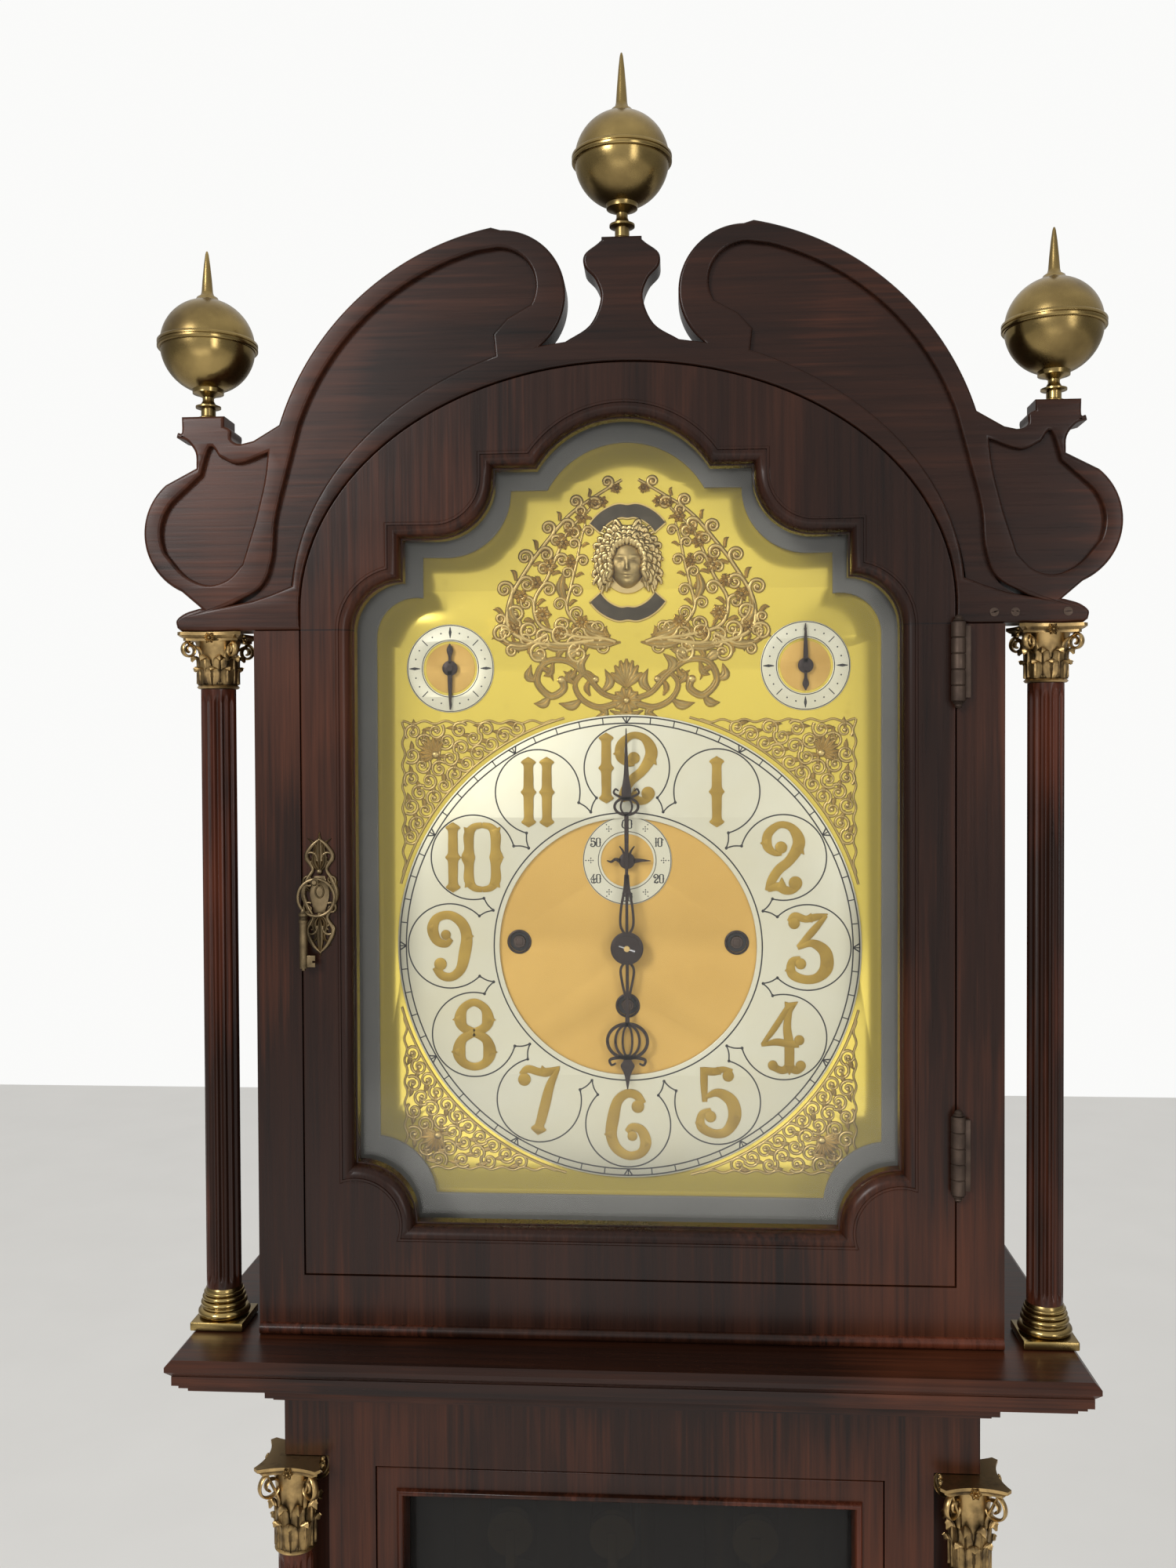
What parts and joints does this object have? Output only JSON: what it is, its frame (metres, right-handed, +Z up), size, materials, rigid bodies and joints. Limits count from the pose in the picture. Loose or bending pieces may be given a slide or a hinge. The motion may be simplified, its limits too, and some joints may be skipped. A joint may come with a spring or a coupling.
{
  "type": "longcase clock",
  "caption": "Longcase clock with a swan-necked, columned hood, an arched brass dial behind a glazed door, and a glazed trunk on a plinth.",
  "frame": {"origin": "middle of the footprint, on the floor", "axes": "+Z up, -Y towards the viewer of the dial, +X to the viewer's right"},
  "size_m": [0.551, 0.31, 2.311],
  "materials": {
    "mahogany": "gloss",
    "dark_wood": "satin",
    "softwood": "matte",
    "brass": "satin",
    "aged_brass": "satin",
    "dial_brass": "satin",
    "silvered_brass": "satin",
    "mask_grey": "matte",
    "dark_steel": "satin",
    "bright_steel": "satin",
    "hinge_steel": "satin",
    "cord": "matte",
    "glass": "clear"
  },
  "bodies": {
    "case": {"backboard": "softwood", "trunk_side_left": "mahogany", "trunk_side_right": "mahogany", "trunk_front_frame": "mahogany", "trunk_column_left": "mahogany", "trunk_column_right": "mahogany", "throat_moulding": "mahogany", "waist_moulding": "mahogany", "base_case": "mahogany", "plinth": "mahogany", "seatboard": "softwood", "movement_front_plate": "brass", "movement_back_plate": "brass", "dial_plate": "dial_brass", "chapter_ring": "silvered_brass", "tube_rail": "dark_wood", "chime_tube_1": "brass", "chime_tube_2": "brass", "chime_tube_3": "brass", "chime_tube_4": "brass", "chime_tube_5": "brass", "going_line": "cord", "strike_line": "cord", "chime_line": "cord"},
    "hood": {"hood_case": "mahogany", "hood_base_frame": "mahogany", "hood_front_frame": "mahogany", "hood_pediment": "mahogany", "hood_column_left": "mahogany", "hood_column_right": "mahogany", "hood_capital_left": "aged_brass", "hood_capital_right": "aged_brass", "finial_centre": "aged_brass", "finial_left": "aged_brass", "finial_right": "aged_brass", "dial_mask": "mask_grey", "hood_hinge_upper": "hinge_steel", "hood_hinge_lower": "hinge_steel"},
    "hood_door": {"hood_door_frame": "mahogany", "hood_door_glass": "glass"},
    "key": {"door_key": "aged_brass"},
    "trunk_door": {"trunk_door_frame": "mahogany", "trunk_door_glass": "glass"},
    "minute_work": {"minute_hand": "dark_steel", "centre_wheel": "brass"},
    "hour_work": {"hour_hand": "dark_steel"},
    "going_drum": {"going_barrel": "brass"},
    "third_work": {"third_wheel": "brass"},
    "escape_work": {"escape_wheel": "brass", "seconds_hand": "dark_steel"},
    "pallets": {"anchor": "bright_steel"},
    "pendulum": {"pendulum_rod": "bright_steel", "pendulum_bob": "brass"},
    "strike_drum": {"strike_barrel": "brass"},
    "chime_drum": {"chime_barrel": "brass"},
    "going_fall": {"going_weight": "brass"},
    "strike_fall": {"strike_weight": "brass"},
    "chime_fall": {"chime_weight": "brass"},
    "strike_setting": {"strike_pointer": "dark_steel"},
    "chime_setting": {"chime_pointer": "dark_steel"}
  },
  "joints": [
    {"name": "hood_slide", "type": "slide", "parent": "case", "child": "hood", "axis": [0, -1, 0], "range_m": [0, 0.3]},
    {"name": "hood_door_hinge", "type": "hinge", "parent": "hood", "child": "hood_door", "pos_m": [0.1852, -0.0993, 1.8], "axis": [0, 0, 1], "range_deg": [0, 110]},
    {"name": "key_swing", "type": "hinge", "parent": "hood_door", "child": "key", "pos_m": [-0.175, -0.1, 1.842], "axis": [0, 1, 0], "range_deg": [-20, 20]},
    {"name": "trunk_door_hinge", "type": "hinge", "parent": "case", "child": "trunk_door", "pos_m": [0.1469, -0.0862, 1], "axis": [0, 0, 1], "range_deg": [0, 110]},
    {"name": "minute_turn", "type": "hinge", "parent": "case", "child": "minute_work", "pos_m": [0, 0, 1.7982], "axis": [0, 1, 0], "continuous": true},
    {"name": "hour_turn", "type": "hinge", "parent": "case", "child": "hour_work", "pos_m": [0, 0, 1.7982], "axis": [0, 1, 0], "continuous": true},
    {"name": "going_drum_turn", "type": "hinge", "parent": "case", "child": "going_drum", "pos_m": [0, 0, 1.7624], "axis": [0, 1, 0], "continuous": true},
    {"name": "third_turn", "type": "hinge", "parent": "case", "child": "third_work", "pos_m": [0.01575, 0, 1.82833], "axis": [0, 1, 0], "continuous": true},
    {"name": "escape_turn", "type": "hinge", "parent": "case", "child": "escape_work", "pos_m": [0, 0, 1.85], "axis": [0, 1, 0], "continuous": true},
    {"name": "pendulum_swing", "type": "hinge", "parent": "case", "child": "pendulum", "pos_m": [0, 0.059, 1.8782], "axis": [0, 1, 0], "range_deg": [-3, 3]},
    {"name": "pallet_rock", "type": "hinge", "parent": "case", "child": "pallets", "pos_m": [0, 0.059, 1.8782], "axis": [0, 1, 0], "range_deg": [-3, 3]},
    {"name": "going_drop", "type": "slide", "parent": "case", "child": "going_fall", "axis": [0, 0, -1], "range_m": [-0.15, 0.6], "deforming": ["going_line"]},
    {"name": "strike_drop", "type": "slide", "parent": "case", "child": "strike_fall", "axis": [0, 0, -1], "range_m": [-0.15, 0.6], "deforming": ["strike_line"]},
    {"name": "chime_drop", "type": "slide", "parent": "case", "child": "chime_fall", "axis": [0, 0, -1], "range_m": [-0.15, 0.6], "deforming": ["chime_line"]},
    {"name": "strike_drum_turn", "type": "hinge", "parent": "case", "child": "strike_drum", "pos_m": [-0.0655, 0, 1.8007], "axis": [0, 1, 0], "continuous": true},
    {"name": "chime_drum_turn", "type": "hinge", "parent": "case", "child": "chime_drum", "pos_m": [0.0655, 0, 1.8007], "axis": [0, 1, 0], "continuous": true},
    {"name": "strike_setting_turn", "type": "hinge", "parent": "case", "child": "strike_setting", "pos_m": [-0.1065, 0, 1.9662], "axis": [0, 1, 0], "range_deg": [0, 180]},
    {"name": "chime_setting_turn", "type": "hinge", "parent": "case", "child": "chime_setting", "pos_m": [0.1065, 0, 1.9662], "axis": [0, 1, 0], "range_deg": [0, 180]}
  ],
  "couplings": [
    {"joint": "hour_turn", "follows": "minute_turn", "ratio": 0.083333},
    {"joint": "going_drum_turn", "follows": "minute_turn", "ratio": -0.083333},
    {"joint": "third_turn", "follows": "minute_turn", "ratio": -7.5},
    {"joint": "escape_turn", "follows": "minute_turn", "ratio": 60},
    {"joint": "pallet_rock", "follows": "pendulum_swing", "ratio": 1},
    {"joint": "strike_drum_turn", "follows": "strike_drop", "rad_per_m": -76.628},
    {"joint": "chime_drum_turn", "follows": "chime_drop", "rad_per_m": 76.628}
  ]
}
